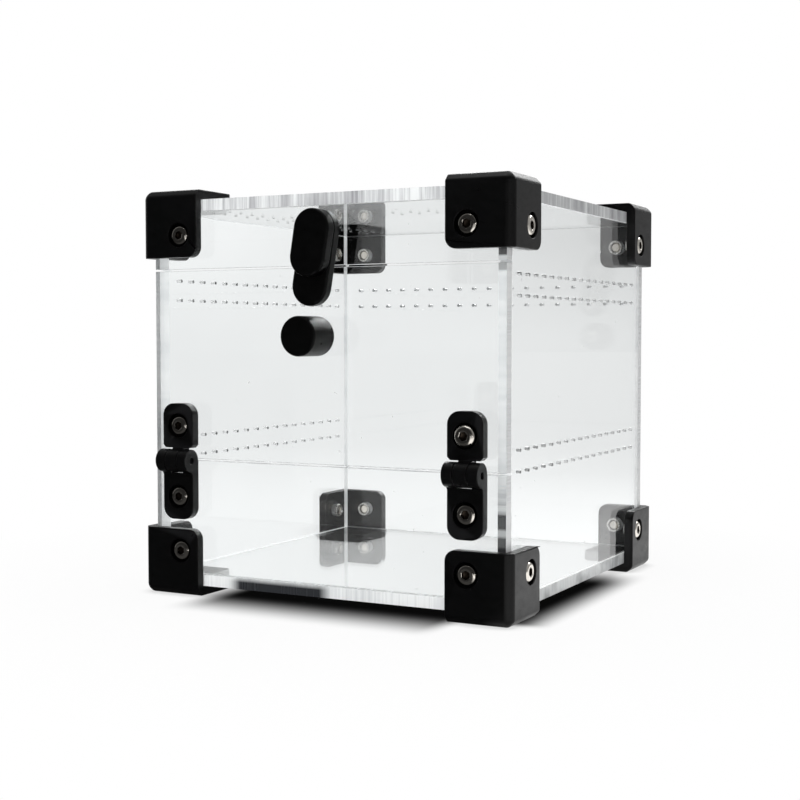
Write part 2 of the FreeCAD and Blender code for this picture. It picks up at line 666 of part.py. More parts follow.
# Under the pivot screw's head lie the washer, the sheet and the running gap behind the arm.
group("latch_pivot_screw", small_screw("pivot_screw_master", size("pivot_screw_length")),
      [(pivot_x, inner_front_y + size("washer_thickness"), pivot_z, tilt * FACING_BACK)])
washer = ring("pivot_washer_master", WIDE_SIDES, size("washer_diameter"), size("small_diameter"),
              size("washer_thickness"))
group("latch_washer", washer, [(pivot_x, inner_front_y, pivot_z, tilt * FACING_BACK)])


def magnet(label, x, y, z, thickness, rotation):
    disc = doc.addObject("Part::Prism", label)
    disc.Label = label
    disc.Polygon = WIDE_SIDES
    bind(disc, "Circumradius", size("magnet_diameter") / 2)
    bind(disc, "Height", thickness)
    place(disc, x, y, z, rotation)
    NODES.append(disc)


magnet("latch_magnet", keeper_x, latch_back, base_z + keeper_z, size("magnet_thickness"),
       tilt * FACING_FRONT)
magnet("keeper_magnet", keeper_x, inner_front_y, base_z + keeper_z, sheet_t, FACING_FRONT)

doc.recompute()

# Every object is sound, every cut removes material and every node holds whole, valid solids.
for item in doc.Objects:
    if "Invalid" in item.State or "Error" in item.State:
        raise RuntimeError(f"{item.Label} failed to build: {item.State}")
CUTS = ("PartDesign::Pocket", "PartDesign::SubtractivePrism")
for item in doc.Objects:
    if item.TypeId in CUTS and item.Shape.Volume > item.BaseFeature.Shape.Volume - 0.01:
        raise RuntimeError(f"{item.Label} cuts nothing")
for node in NODES:
    if node.Shape.isNull() or not node.Shape.isValid() or not node.Shape.Solids:
        raise RuntimeError(f"{node.Label} has no valid solid")

os.makedirs("parts", exist_ok=True)
for node in NODES:
    node.Shape.exportStep(f"parts/{node.Label}.step")
    print(f"{node.Label}: {len(node.Shape.Solids)} solids, {node.Shape.Volume:.1f} mm3")
print(f"{len(NODES)} nodes written")
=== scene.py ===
import json
import math

import bmesh
import bpy
from mathutils import Matrix, Vector

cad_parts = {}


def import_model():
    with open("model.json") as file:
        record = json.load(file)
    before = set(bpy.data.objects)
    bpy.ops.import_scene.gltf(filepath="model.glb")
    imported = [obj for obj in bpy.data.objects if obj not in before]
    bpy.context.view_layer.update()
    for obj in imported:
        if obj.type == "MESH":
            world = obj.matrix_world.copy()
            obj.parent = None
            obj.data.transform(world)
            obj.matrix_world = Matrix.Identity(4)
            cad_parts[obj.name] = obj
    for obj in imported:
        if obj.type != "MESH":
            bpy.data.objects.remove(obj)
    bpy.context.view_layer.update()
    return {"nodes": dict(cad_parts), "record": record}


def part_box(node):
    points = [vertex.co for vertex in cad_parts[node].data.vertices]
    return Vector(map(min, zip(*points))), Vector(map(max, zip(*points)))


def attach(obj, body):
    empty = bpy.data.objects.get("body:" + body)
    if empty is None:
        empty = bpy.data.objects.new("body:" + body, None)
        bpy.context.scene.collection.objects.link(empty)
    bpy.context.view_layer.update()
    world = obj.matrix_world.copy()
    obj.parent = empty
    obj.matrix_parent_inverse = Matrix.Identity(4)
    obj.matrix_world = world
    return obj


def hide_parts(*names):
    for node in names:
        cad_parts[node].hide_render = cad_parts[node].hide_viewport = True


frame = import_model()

nodes = frame["nodes"]
record = frame["record"]
MM = 0.001

# The same named values as in the part's source, in millimetres
HALF = 50.8
SHEET = 3.0
PLATE = 2.6
INSET = 9.3
BORE_FLOOR = 0.9
MID_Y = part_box("back_panel")[1][1] / MM - HALF
FRONT_Y = MID_Y - HALF
LOW_Z = PLATE + INSET
HIGH_Z = PLATE + 2 * HALF - INSET
INNER_Y = FRONT_Y + SHEET
HINGES = {"left": -42.0, "right": 41.3}
HINGE_Z = PLATE + 33.25
LEAF_Z = {"upper": HINGE_Z + 9.1, "lower": HINGE_Z - 9.6}
KNOB = (-0.8, PLATE + 65.9)
PIVOT = (-1.4, PLATE + 78.4)
MAGNET_REACH = 12.5
TILT = math.radians(9.4)
INSERT_LENGTH = 3.6
BORE = 3.2

AXES = "XYZ"
CORNERS = [(f"{level}_{row}_{side}", x_side, y_side, z)
           for level, z in (("bottom", LOW_Z), ("top", HIGH_Z))
           for row, y_side in (("front", -1), ("back", 1))
           for side, x_side in (("left", -1), ("right", 1))]


# Node helpers
def new_material(name):
    mat = bpy.data.materials.new(name)
    mat.use_nodes = True
    tree = mat.node_tree
    tree.nodes.clear()
    out = tree.nodes.new("ShaderNodeOutputMaterial")
    bsdf = tree.nodes.new("ShaderNodeBsdfPrincipled")
    tree.links.new(bsdf.outputs[0], out.inputs["Surface"])
    return mat, tree, bsdf


def add(tree, kind, **settings):
    node = tree.nodes.new(kind)
    for key, value in settings.items():
        setattr(node, key, value)
    return node


def link(tree, source, target):
    tree.links.new(source, target)


def place_axes(tree, output="Object"):
    """A place's X, Y and Z in the row frame, or with Generated a direction's in the world."""
    coords = add(tree, "ShaderNodeTexCoord")
    split = add(tree, "ShaderNodeSeparateXYZ")
    link(tree, coords.outputs[output], split.inputs[0])
    return [split.outputs[axis] for axis in AXES]


def noise(tree, per_metre, detail=3.0, rough=0.5):
    """Noise in the row frame, with its count per metre given once, or for each axis."""
    coords = add(tree, "ShaderNodeTexCoord")
    mapping = add(tree, "ShaderNodeMapping")
    mapping.inputs["Scale"].default_value = per_metre if isinstance(per_metre, tuple) else (per_metre,) * 3
    link(tree, coords.outputs["Object"], mapping.inputs["Vector"])
    tex = add(tree, "ShaderNodeTexNoise")
    tex.inputs["Scale"].default_value = 1.0
    tex.inputs["Detail"].default_value = detail
    tex.inputs["Roughness"].default_value = rough
    link(tree, mapping.outputs["Vector"], tex.inputs["Vector"])
    return tex.outputs["Fac"]


def remap(tree, value, low, high, to_low, to_high):
    node = add(tree, "ShaderNodeMapRange", clamp=True)
    node.inputs["From Min"].default_value = low
    node.inputs["From Max"].default_value = high
    node.inputs["To Min"].default_value = to_low
    node.inputs["To Max"].default_value = to_high
    link(tree, value, node.inputs["Value"])
    return node.outputs["Result"]


def math_node(tree, operation, first, second):
    node = add(tree, "ShaderNodeMath", operation=operation)
    for socket, value in zip(node.inputs, (first, second)):
        if isinstance(value, (int, float)):
            socket.default_value = value
        else:
            link(tree, value, socket)
    return node.outputs[0]


def chain(tree, operation, first, *others):
    """One operation carried through several values."""
    result = first
    for value in others:
        result = math_node(tree, operation, result, value)
    return result


def product(tree, *values):
    return chain(tree, "MULTIPLY", *values)


def largest(tree, *values):
    return chain(tree, "MAXIMUM", *values)


def minus(tree, first, second):
    return math_node(tree, "SUBTRACT", first, second)


def span(tree, value, low, high, soft):
    """1 between two places on an axis, 0 beyond them."""
    return product(tree, remap(tree, value, low - soft, low + soft, 0.0, 1.0),
                   remap(tree, value, high - soft, high + soft, 1.0, 0.0))


def mix_colour(tree, fac, first, second):
    node = add(tree, "ShaderNodeMix", data_type="RGBA")
    link(tree, fac, node.inputs[0])
    for index, colour in ((6, first), (7, second)):
        if isinstance(colour, tuple):
            node.inputs[index].default_value = (*colour, 1.0)
        else:
            link(tree, colour, node.inputs[index])
    return node.outputs[2]


def bump(tree, height, strength, distance, normal=None):
    node = add(tree, "ShaderNodeBump")
    node.inputs["Strength"].default_value = strength
    node.inputs["Distance"].default_value = distance
    link(tree, height, node.inputs["Height"])
    if normal is not None:
        link(tree, normal, node.inputs["Normal"])
    return node.outputs["Normal"]


# Materials
IOR = 1.49


def polished_sheet():
    """Clear polished faces: almost flat, a few dust specks, a faint cool tint."""
    mat, tree, bsdf = new_material("clear_acrylic")
    wave = noise(tree, 18.0, 2.0, 0.4)
    link(tree, bump(tree, wave, 0.02, 0.0004), bsdf.inputs["Normal"])
    specks = noise(tree, 420.0, 1.0)
    link(tree, remap(tree, specks, 0.79, 0.82, 0.0, 0.35), bsdf.inputs["Roughness"])
    haze = remap(tree, noise(tree, 30.0), 0.35, 0.65, 0.0, 1.0)
    link(tree, mix_colour(tree, haze, (0.969, 0.981, 0.982), (0.979, 0.990, 0.990)), bsdf.inputs["Base Color"])
    bsdf.inputs["IOR"].default_value = IOR
    bsdf.inputs["Transmission Weight"].default_value = 1.0
    return mat


def level_edge_tone(tree, both, fine, across, up, front):
    """The tone of the top and bottom sheets' edges."""
    at_top = remap(tree, up, 0.05, 0.06, 0.0, 1.0)
    at_bottom = remap(tree, up, 0.05, 0.06, 1.0, 0.0)
    # The top sheet's edge is coarsely streaked.
    coarse = remap(tree, both, 0.36, 0.62, 0.0, 1.0)
    coarse = mix_colour(tree, coarse, (0.28, 0.28, 0.30), (0.80, 0.82, 0.82))
    fine = mix_colour(tree, fine, (0.72, 0.74, 0.75), (0.93, 0.95, 0.95))
    tone = mix_colour(tree, at_top, fine, coarse)
    # At the front left the bottom sheet's edge is darkened by a painted reflection of the dark room.
    low_left = product(tree, span(tree, across, -0.0262, 0.0015, 0.0018),
                       remap(tree, up, 0.0045, 0.0055, 1.0, 0.35), front, at_bottom)
    tone = mix_colour(tree, low_left, tone, (0.030, 0.032, 0.036))
    # On the right it is darker in grey noise patches.
    grey_patches = remap(tree, noise(tree, 60.0, 3.0, 0.6), 0.42, 0.56, 0.75, 0.0)
    low_right = product(tree, grey_patches, remap(tree, across, 0.044, 0.048, 0.0, 1.0), at_bottom)
    return mix_colour(tree, low_right, tone, (0.26, 0.27, 0.28))


def upright_edge_tone(tree, tone, both, across, up, front):
    """The tone of the upright edges that face left and right, from their plain one."""
    # Low on the front right edge a painted reflection darkens and streaks it.
    streaked = remap(tree, both, 0.42, 0.56, 0.0, 1.0)
    streaked = mix_colour(tree, streaked, (0.16, 0.16, 0.17), (0.55, 0.56, 0.56))
    low_front = product(tree, front, remap(tree, across, 0.0, 0.01, 0.0, 0.8),
                        remap(tree, up, 0.026, 0.036, 1.0, 0.0))
    tone = mix_colour(tree, low_front, tone, streaked)
    # A painted reflection of the brackets above and below darkens the front right edge.
    dark = largest(tree, span(tree, up, 0.0170, 0.0208, 0.0003), span(tree, up, 0.0226, 0.0264, 0.0004),
                   span(tree, up, 0.0875, 0.0920, 0.0003),
                   product(tree, span(tree, up, 0.0840, 0.0862, 0.0003), 0.6))
    dark = product(tree, dark, front, remap(tree, across, 0.0, 0.01, 0.0, 0.95))
    return mix_colour(tree, dark, tone, (0.020, 0.020, 0.022))


def cut_edge(axis):
    """Laser-cut edge: bright, streaked through the sheet's thickness, which lies along the axis."""
    mat, tree, bsdf = new_material(f"clear_acrylic_edge_{axis}")
    per_metre = tuple(25.0 if other == axis else 1100.0 for other in AXES)
    streaks = noise(tree, per_metre, 4.0, 0.65)
    broad = noise(tree, tuple(value * 0.12 for value in per_metre), 2.0)
    both = math_node(tree, "ADD", product(tree, streaks, 0.6), product(tree, broad, 0.4))
    fine = remap(tree, both, 0.40, 0.56, 0.0, 1.0)
    across, deep, up = place_axes(tree)
    front = remap(tree, deep, -0.040, -0.035, 1.0, 0.0)
    if axis == "Z":
        tone = level_edge_tone(tree, both, fine, across, up, front)
    else:
        tone = mix_colour(tree, fine, (0.80, 0.82, 0.83), (0.96, 0.97, 0.97))
    if axis == "X":
        tone = upright_edge_tone(tree, tone, both, across, up, front)
    link(tree, tone, bsdf.inputs["Base Color"])
    link(tree, remap(tree, both, 0.4, 0.6, 0.35, 0.12), bsdf.inputs["Roughness"])
    link(tree, bump(tree, streaks, 0.3, 0.00008), bsdf.inputs["Normal"])
    # A painted glow: the edges emit light in their own tone, standing in for the light that the sheet pipes to
    # them, most on the edges that face left and right.
    link(tree, tone, bsdf.inputs["Emission Color"])
    bsdf.inputs["Emission Strength"].default_value = {"X": 0.44, "Y": 0.04, "Z": 0.08}[axis]
    bsdf.inputs["IOR"].default_value = IOR
    return mat


def vent_wall():
    """The burnt-smooth wall of a small laser-cut hole."""
    mat, tree, bsdf = new_material("clear_acrylic_vent")
    marks = noise(tree, 1500.0, 3.0, 0.6)
    link(tree, mix_colour(tree, marks, (0.60, 0.62, 0.62), (0.95, 0.96, 0.96)), bsdf.inputs["Base Color"])
    link(tree, remap(tree, marks, 0.3, 0.7, 0.08, 0.22), bsdf.inputs["Roughness"])
    link(tree, bump(tree, marks, 0.15, 0.00003), bsdf.inputs["Normal"])
    bsdf.inputs["IOR"].default_value = IOR
    bsdf.inputs["Transmission Weight"].default_value = 0.6
    return mat


def printed_black(name, base, lift, shine):
    """Extruded black plastic: layer lines 0.2 mm apart, slight mottling, and a painted highlight that lightens the
    convex edges.
    """
    mat, tree, bsdf = new_material(name)
    up = place_axes(tree)[2]
    wobble = product(tree, noise(tree, 90.0, 2.0), 0.35)
    phase = product(tree, up, 2 * math.pi / (0.2 * MM))
    lines = math_node(tree, "SINE", math_node(tree, "ADD", phase, wobble), 0.0)
    grain = noise(tree, 5200.0, 3.0, 0.6)
    height = math_node(tree, "ADD", product(tree, lines, 0.35), grain)
    soft = add(tree, "ShaderNodeBevel", samples=6)
    soft.inputs["Radius"].default_value = 0.35 * MM
    link(tree, bump(tree, height, 0.16, 0.00006, soft.outputs["Normal"]), bsdf.inputs["Normal"])
    patches = noise(tree, (260.0, 260.0, 520.0), 4.0, 0.6)
    link(tree, remap(tree, patches, 0.3, 0.7, 0.27, 0.38), bsdf.inputs["Roughness"])
    geometry = add(tree, "ShaderNodeNewGeometry")
    # Painted highlight: convex edges are lighter.
    edge_highlight = remap(tree, geometry.outputs["Pointiness"], 0.52, 0.60, 0.0, 0.6)
    tone = mix_colour(tree, remap(tree, patches, 0.3, 0.7, 0.0, 1.0), base, lift)
    link(tree, mix_colour(tree, edge_highlight, tone, (0.012, 0.012, 0.013)), bsdf.inputs["Base Color"])
    bsdf.inputs["Specular IOR Level"].default_value = shine
    return mat


def metal(name, colour, dark, roughness, per_metre):
    """Machined metal with turned marks and a faintly uneven polish."""
    mat, tree, bsdf = new_material(name)
    marks = noise(tree, per_metre, 4.0, 0.6)
    tone = mix_colour(tree, remap(tree, marks, 0.3, 0.7, 0.0, 1.0), dark, colour)
    link(tree, tone, bsdf.inputs["Base Color"])
    link(tree, remap(tree, marks, 0.3, 0.7, roughness * 0.7, roughness * 1.4), bsdf.inputs["Roughness"])
    link(tree, bump(tree, noise(tree, per_metre * 6, 2.0), 0.05, 0.00002), bsdf.inputs["Normal"])
    bsdf.inputs["Metallic"].default_value = 1.0
    return mat


clear = polished_sheet()
edges = {axis: cut_edge(axis) for axis in AXES}
vent = vent_wall()
black = printed_black("black_print", (0.0012, 0.0012, 0.0012), (0.0020, 0.0020, 0.0021), 0.2)
handled = printed_black("black_print_handled", (0.0014, 0.0014, 0.0014), (0.0024, 0.0024, 0.0025), 0.09)
shade_inside = metal("socket_shade", (0.110, 0.085, 0.065), (0.045, 0.034, 0.026), 0.4, 2500.0)
steel = metal("screw_steel", (0.80, 0.76, 0.70), (0.66, 0.62, 0.56), 0.14, 1500.0)
silver = metal("insert_metal", (0.78, 0.77, 0.74), (0.55, 0.54, 0.52), 0.26, 1800.0)
nickel = metal("magnet_nickel", (0.74, 0.72, 0.69), (0.64, 0.62, 0.59), 0.12, 900.0)
BY_SLOT = {"black_print": black, "screw_steel": steel, "insert_metal": silver, "magnet_nickel": nickel,
           "clear_acrylic": clear}

slot_of = {row["node"]: row["material_slot"] for row in record["subparts"]}
body_of = {name: body for body, names in record["behaviour"]["bodies"].items() for name in names}


def dress(obj, *mats):
    """Give an object its materials, and leave the faces' own choice among them alone."""
    while len(obj.data.materials) > len(mats):
        obj.data.materials.pop()
    for index, mat in enumerate(mats):
        if index < len(obj.data.materials):
            obj.data.materials[index] = mat
        else:
            obj.data.materials.append(mat)


for name, obj in nodes.items():
    dress(obj, BY_SLOT[slot_of[name]])


def stand_for(name, mesh, *mats):
    """A detailed piece that replaces one CAD node, rides on its body and keeps its finish."""
    obj = bpy.data.objects.new(f"fine_{name}", mesh)
    bpy.context.scene.collection.objects.link(obj)
    dress(obj, *(mats or (BY_SLOT[slot_of[name]],)))
    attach(obj, body_of[name])
    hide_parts(name)


def face_outward(bm):
    """Turn every face of a closed form outward, so that light bends the right way through it."""
    bmesh.ops.recalc_face_normals(bm, faces=bm.faces)
    if bm.calc_volume(signed=True) < 0:
        bmesh.ops.reverse_faces(bm, faces=bm.faces)


# Sheets with their round vents and screw holes
AIR = 0.03


def sheet_piece(name, axis, holes):
    """A flat sheet over its node's box, drilled at (across, up, radius) places in its own plane."""
    low, high = (Vector(corner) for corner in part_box(name))
    normal = AXES.index(axis)
    first, second = (i for i in range(3) if i != normal)
    # Neighbouring sheets meet with a hair of air between them.
    for i in (first, second):
        low[i] += AIR * MM
        high[i] -= AIR * MM
    curve = bpy.data.curves.new(name, "CURVE")
    curve.dimensions = "2D"
    curve.fill_mode = "BOTH"
    curve.extrude = (high[normal] - low[normal]) / 2
    loops = [[(low[first], low[second]), (high[first], low[second]),
              (high[first], high[second]), (low[first], high[second])]]
    for across, up, radius in holes:
        count = 16 if radius < 1.0 else 32
        turns = [2 * math.pi * i / count for i in range(count)]
        loops.append([((across + radius * math.cos(t)) * MM, (up + radius * math.sin(t)) * MM) for t in turns])
    for points in loops:
        spline = curve.splines.new("POLY")
        spline.points.add(len(points) - 1)
        spline.points.foreach_set("co", [value for x, y in points for value in (x, y, 0.0, 1.0)])
        spline.use_cyclic_u = True
    flat = bpy.data.objects.new(name, curve)
    mesh = bpy.data.meshes.new_from_object(flat)
    bpy.data.objects.remove(flat)
    bpy.data.curves.remove(curve)
    bm = bmesh.new()
    bm.from_mesh(mesh)
    bmesh.ops.remove_doubles(bm, verts=bm.verts, dist=1e-7)
    middle = (low[normal] + high[normal]) / 2
    for vert in bm.verts:
        place = [0.0, 0.0, 0.0]
        place[first], place[second], place[normal] = vert.co.x, vert.co.y, vert.co.z + middle
        vert.co = place
    face_outward(bm)
    for face in bm.faces:
        if abs(face.normal[normal]) > 0.7:
            face.material_index = 0
        else:
            centre = face.calc_center_median()
            on_rim = any(abs(centre[i] - corner[i]) < 1e-6
                         for i in (first, second) for corner in (low, high))
            face.material_index = 1 if on_rim else 2
            face.smooth = not on_rim
    bm.to_mesh(mesh)
    bm.free()
    mesh.set_sharp_from_angle(angle=math.radians(40))
    stand_for(name, mesh, clear, edges[axis], edges["Y"] if axis == "Y" else vent)


PITCH, PITCH_BACK, ROW_GAP, PAIR_DROP = 5.27, 5.07, 5.2, 42.2
UPPER_ROW = PLATE + 80.8
SIDE_ROW = MID_Y - PITCH * 8
TOP_SIDE_ROW, TOP_FRONT_ROW = -32.0, MID_Y - 20.4
# Radii of the holes
VENT, FIT, KEEPER, KNOB_SHANK, PIVOT_SHANK = 0.45, 2.1, 2.5, 1.25, 1.33

end_fits = [(side * (HALF - INSET), z, FIT) for side in (-1, 1) for z in (LOW_Z, HIGH_Z)]
side_fits = [(MID_Y + across, z, radius) for across, z, radius in end_fits]
side_vents = [(SIDE_ROW + PITCH * i, UPPER_ROW - row * ROW_GAP - pair * PAIR_DROP, VENT)
              for i in range(17) for row in (0, 1) for pair in (0, 1)]
back_vents = [(PITCH_BACK * (i - 8.5), UPPER_ROW - row * ROW_GAP, VENT) for i in range(18) for row in (0, 1)]
top_vents = [(TOP_SIDE_ROW - row * ROW_GAP, SIDE_ROW + PITCH * i, VENT) for i in range(17) for row in (0, 1)]
top_vents += [(PITCH * (i - 5), TOP_FRONT_ROW + row * ROW_GAP, VENT) for i in range(14) for row in (0, 1)]
hinge_fits = {half: [(x, z, FIT) for x in HINGES.values()] for half, z in LEAF_Z.items()}
magnet = (PIVOT[0] + MAGNET_REACH * math.sin(TILT), PIVOT[1] + MAGNET_REACH * math.cos(TILT))

sheet_piece("bottom_panel", "Z", [])
sheet_piece("top_panel", "Z", top_vents)
sheet_piece("back_panel", "Y", end_fits + back_vents)
sheet_piece("left_panel", "X", side_fits + side_vents)
sheet_piece("right_panel", "X", side_fits + side_vents)
sheet_piece("front_bottom_panel", "Y", end_fits[::2] + hinge_fits["lower"])
sheet_piece("front_top_strip", "Y", end_fits[1::2] + [(*magnet, KEEPER)])
sheet_piece("door_panel", "Y", hinge_fits["upper"] + [(*KNOB, KNOB_SHANK), (*PIVOT, PIVOT_SHANK)])


# Turned parts
SEGMENTS = 48
HEXAGON = 6
SOCKET_FROM = -3


def turned(profile, place, outward, spin=0.0, dark_from=None):
    """Lathe an outline of (radius, height, sides) rings about an axis that points outward.

    Sides are 0 for a round ring, 6 for a hexagon, and else the count of a knurl's ribs. Faces from
    the ring dark_from, counted from the end, take the second material.
    """
    turn = Vector(outward).to_track_quat("Z", "Y").to_matrix().to_4x4()
    move = Matrix.Translation(Vector(place) * MM) @ turn @ Matrix.Rotation(spin, 4, "Z")
    bm = bmesh.new()
    rings = []
    for radius, height, sides in profile:
        ring = []
        for i in range(SEGMENTS):
            angle = 2 * math.pi * i / SEGMENTS
            reach = radius
            if sides == HEXAGON:
                reach = radius * math.cos(math.pi / 6) / math.cos(angle % (math.pi / 3) - math.pi / 6)
            elif sides and not (i * sides * 2 // SEGMENTS) % 2:
                reach = radius * 0.93
            spot = Vector((reach * math.cos(angle), reach * math.sin(angle), height)) * MM
            ring.append(bm.verts.new(move @ spot))
        rings.append(ring)
    for level, (lower, upper) in enumerate(zip(rings, rings[1:])):
        for i in range(SEGMENTS):
            j = (i + 1) % SEGMENTS
            face = bm.faces.new((lower[i], lower[j], upper[j], upper[i]))
            face.material_index = int(dark_from is not None and level >= len(rings) + dark_from)
    if profile[0] != profile[-1]:
        bm.faces.new(rings[0][::-1])
        bm.faces.new(rings[-1]).material_index = int(dark_from is not None)
    bmesh.ops.remove_doubles(bm, verts=bm.verts, dist=1e-8)
    face_outward(bm)
    for face in bm.faces:
        face.smooth = True
    return bm


def join(name, solids):
    """One mesh from several turned solids."""
    total = bmesh.new()
    for solid in solids:
        scrap = bpy.data.meshes.new("scrap")
        solid.to_mesh(scrap)
        solid.free()
        total.from_mesh(scrap)
        bpy.data.meshes.remove(scrap)
    mesh = bpy.data.meshes.new(name)
    total.to_mesh(mesh)
    total.free()
    mesh.set_sharp_from_angle(angle=math.radians(32))
    return mesh


def screw_profile(thread, length, head, height, socket):
    """Button-head socket screw: rolled thread, domed head, hexagon socket."""
    pitch = thread / 6
    outline = [(thread * 0.38, -length, 0)]
    level = -length + pitch
    while level < -pitch:
        outline += [(thread / 2, level, 0), (thread * 0.43, level + pitch / 2, 0)]
        level += pitch
    outline += [(thread / 2, -0.05, 0), (thread / 2, 0.0, 0), (head / 2 - 0.08, 0.0, 0), (head / 2, 0.1, 0)]
    rim, flat = 0.22, socket * 0.80
    outline += [(head / 2, height * rim, 0)]
    for step in range(1, 8):
        angle = math.pi / 2 * step / 8
        radius, rise = flat + (head / 2 - flat) * math.cos(angle), rim + (1 - rim) * math.sin(angle)
        outline.append((radius, height * rise, 0))
    outline += [(flat, height, 0), (socket * 0.66, height, 0), (socket * 0.60, height - 0.1, HEXAGON)]
    outline += [(socket * 0.577, height * 0.42, HEXAGON), (socket * 0.3, height * 0.3, 0)]
    return outline


def screw(profile, place, outward, spin=0.0):
    """A screw whose socket is dark inside."""
    return turned(profile, place, outward, spin, SOCKET_FROM)


def stand_for_screws(name, solids):
    stand_for(name, join(name, solids), steel, shade_inside)


def stand_for_turned(name, solids):
    stand_for(name, join(name, solids))


MAIN_SCREW = screw_profile(3.0, 4.0, 5.5, 1.65, 2.0)
KNOB_SCREW = screw_profile(2.5, 8.0, 4.5, 1.25, 1.5)
PIVOT_SCREW = screw_profile(2.5, 6.0, 4.5, 1.25, 1.5)
KNURL = 24
INSERT = [(1.5, 0.12, 0), (1.62, 0.0, 0), (1.95, 0.0, 0), (2.05, 0.1, 0), (2.05, 0.5, 0), (1.9, 0.6, 0),
          (1.9, 0.7, 0), (2.1, 0.8, KNURL), (2.1, 1.9, KNURL), (1.88, 2.0, 0), (1.88, 2.1, 0),
          (2.1, 2.2, KNURL), (2.1, 3.3, KNURL), (1.95, 3.5, 0), (1.9, 3.6, 0), (1.6, 3.6, 0),
          (1.5, 3.48, 0), (1.5, 0.12, 0)]
WASHER_THICK = 0.5
WASHER = [(1.25, 0.0, 0), (2.42, 0.0, 0), (2.5, 0.08, 0), (2.5, 0.42, 0),
          (2.42, WASHER_THICK, 0), (1.25, WASHER_THICK, 0), (1.25, 0.0, 0)]
FORWARD, BACKWARD = (0, -1, 0), (0, 1, 0)

for name, x_side, y_side, z in CORNERS:
    spin = 0.3 + 0.55 * x_side + 0.35 * y_side + z * 0.01
    reach, seat, sleeve = HALF - INSET, HALF + BORE_FLOOR, HALF - INSERT_LENGTH
    stand_for_screws(f"screws_{name}", [
        screw(MAIN_SCREW, (x_side * reach, MID_Y + y_side * seat, z), (0, y_side, 0), spin),
        screw(MAIN_SCREW, (x_side * seat, MID_Y + y_side * reach, z), (x_side, 0, 0), -spin)])
    stand_for_turned(f"inserts_{name}", [
        turned(INSERT, (x_side * reach, MID_Y + y_side * sleeve, z), (0, y_side, 0)),
        turned(INSERT, (x_side * sleeve, MID_Y + y_side * reach, z), (x_side, 0, 0))])

for side, x in HINGES.items():
    for half, z in LEAF_Z.items():
        proud = 1.2 if (side, half) == ("right", "upper") else 0.0
        head = (x, FRONT_Y - BORE_FLOOR - proud, z)
        stand_for_screws(f"hinge_{half}_screw_{side}", [screw(MAIN_SCREW, head, FORWARD, 0.01 * z + 0.02 * x)])
        stand_for_turned(f"hinge_{half}_insert_{side}", [turned(INSERT, (x, FRONT_Y + INSERT_LENGTH, z), FORWARD)])

stand_for_screws("knob_screw", [screw(KNOB_SCREW, (KNOB[0], INNER_Y, KNOB[1]), BACKWARD)])
stand_for_screws("latch_pivot_screw", [
    screw(PIVOT_SCREW, (PIVOT[0], INNER_Y + WASHER_THICK, PIVOT[1]), BACKWARD)])
stand_for_turned("latch_washer", [turned(WASHER, (PIVOT[0], INNER_Y, PIVOT[1]), BACKWARD)])
for name, back, thick in (("latch_magnet", FRONT_Y - 0.2, 2.0), ("keeper_magnet", INNER_Y, 3.0)):
    disc = [(2.3, 0.0, 0), (2.5, 0.15, 0), (2.5, thick - 0.15, 0), (2.3, thick, 0)]
    stand_for_turned(name, [turned(disc, (magnet[0], back, magnet[1]), FORWARD)])


# Printed parts: the CAD form with softened edges and round counterbores
def from_axis(point, place, outward):
    """The part of a point's offset from a bore that lies across the bore."""
    offset = point - Vector(place) * MM
    return offset - Vector(outward) * offset.dot(Vector(outward))


def round_bore(bm, place, outward):
    """Divide the rings of a few-sided counterbore and push the new points out to its circle."""
    def on_ring(edge):
        start, end = (vert.co for vert in edge.verts)
        return abs((start - end).dot(Vector(outward))) < 1e-6 and all(
            abs(from_axis(point, place, outward).length - BORE * MM) < 2e-5 for point in (start, end))

    ring = [edge for edge in bm.edges if on_ring(edge)]
    made = bmesh.ops.subdivide_edges(bm, edges=ring, cuts=3, use_grid_fill=True)
    for item in made["geom_inner"]:
        if isinstance(item, bmesh.types.BMVert):
            offset = from_axis(item.co, place, outward)
            item.co += offset * (BORE * MM / offset.length - 1.0)


def weigh_edges(bm, bores, small):
    """Chamfers bevel fully, sharper edges by the small share, and the counterbores not at all."""
    weights = bm.edges.layers.float.new("bevel_weight_edge")
    for edge in bm.edges:
        edge.smooth = True
        if len(edge.link_faces) != 2:
            continue
        angle = math.degrees(edge.calc_face_angle())
        middle = (edge.verts[0].co + edge.verts[1].co) / 2
        if all(from_axis(middle, place, outward).length > (BORE + 0.4) * MM for place, outward in bores):
            if angle >= 60:
                edge[weights] = small
            elif angle > 30:
                edge[weights] = 1.0
        edge.smooth = edge[weights] > 0 or angle < 28


def softened(name, mat, width, bores=(), small=0.4):
    """A copy of a node's form. Chamfers are softened by the width, other edges by a share of it."""
    bm = bmesh.new()
    bm.from_mesh(nodes[name].data)
    bmesh.ops.remove_doubles(bm, verts=bm.verts, dist=1e-6)
    bmesh.ops.dissolve_limit(bm, angle_limit=math.radians(0.5), verts=bm.verts, edges=bm.edges)
    for place, outward in bores:
        round_bore(bm, place, outward)
    weigh_edges(bm, bores, small)
    for face in bm.faces:
        face.smooth = True
    base = bpy.data.meshes.new(name)
    bm.to_mesh(base)
    bm.free()
    form = bpy.data.objects.new(name + "_form", base)
    bpy.context.scene.collection.objects.link(form)
    bevel = form.modifiers.new("soften", "BEVEL")
    bevel.limit_method = "WEIGHT"
    bevel.width = width * MM
    bevel.segments = 3
    level = form.modifiers.new("level", "WEIGHTED_NORMAL")
    level.keep_sharp = True
    level.weight = 90
    mesh = bpy.data.meshes.new_from_object(form.evaluated_get(bpy.context.evaluated_depsgraph_get()))
    bpy.data.objects.remove(form)
    stand_for(name, mesh, mat)


